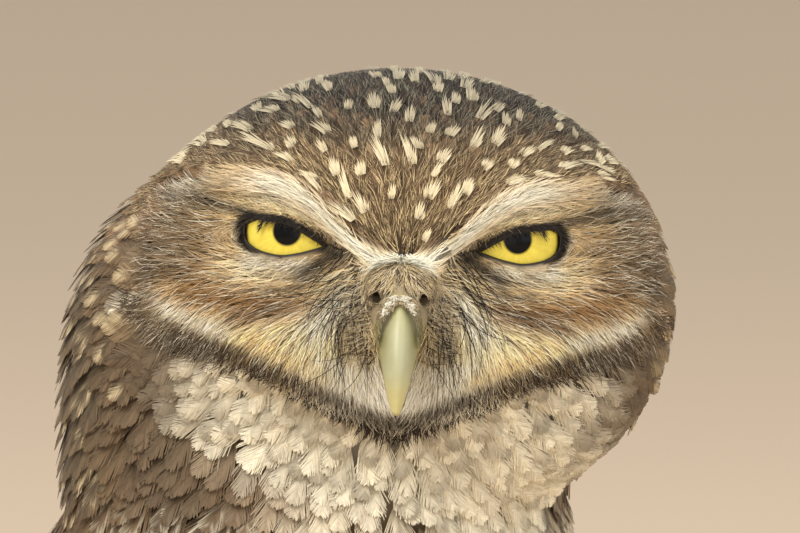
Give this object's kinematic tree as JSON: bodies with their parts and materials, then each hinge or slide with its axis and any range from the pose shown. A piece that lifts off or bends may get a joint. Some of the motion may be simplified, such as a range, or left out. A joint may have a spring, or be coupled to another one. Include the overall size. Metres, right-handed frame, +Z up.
{
  "type": "burrowing owl model",
  "caption": "Life-size still model of an adult burrowing owl standing on both feet, neck drawn in, head turned to its right.",
  "frame": {"origin": "on the floor, below the middle of the model's bounding box", "axes": "+Z up, the body faces -Y, the owl's left side is +X; its head is turned towards -X"},
  "size_m": [0.0878, 0.1262, 0.2118],
  "materials": {
    "brown_feather": "matt, soft",
    "pale_feather": "matt, soft",
    "flight_feather": "matt, barbed",
    "eye": "wet gloss",
    "lid": "satin",
    "bill": "satin horn",
    "cere": "satin",
    "foot_skin": "dry scales",
    "claw": "satin horn"
  },
  "bodies": {
    "root": {"head": "brown_feather", "neck": "brown_feather", "torso": "pale_feather", "tail": "flight_feather", "bill_upper": "bill", "bill_lower": "bill", "cere": "cere", "wing_left": "flight_feather", "thigh_left": "pale_feather", "tarsus_left": "pale_feather", "foot_left": "foot_skin", "eye_left": "eye", "lid_upper_left": "lid", "lid_lower_left": "lid", "claw_inner_left": "claw", "claw_middle_left": "claw", "claw_outer_left": "claw", "claw_hind_left": "claw", "wing_right": "flight_feather", "thigh_right": "pale_feather", "tarsus_right": "pale_feather", "foot_right": "foot_skin", "eye_right": "eye", "lid_upper_right": "lid", "lid_lower_right": "lid", "claw_inner_right": "claw", "claw_middle_right": "claw", "claw_outer_right": "claw", "claw_hind_right": "claw"}
  },
  "joints": []
}
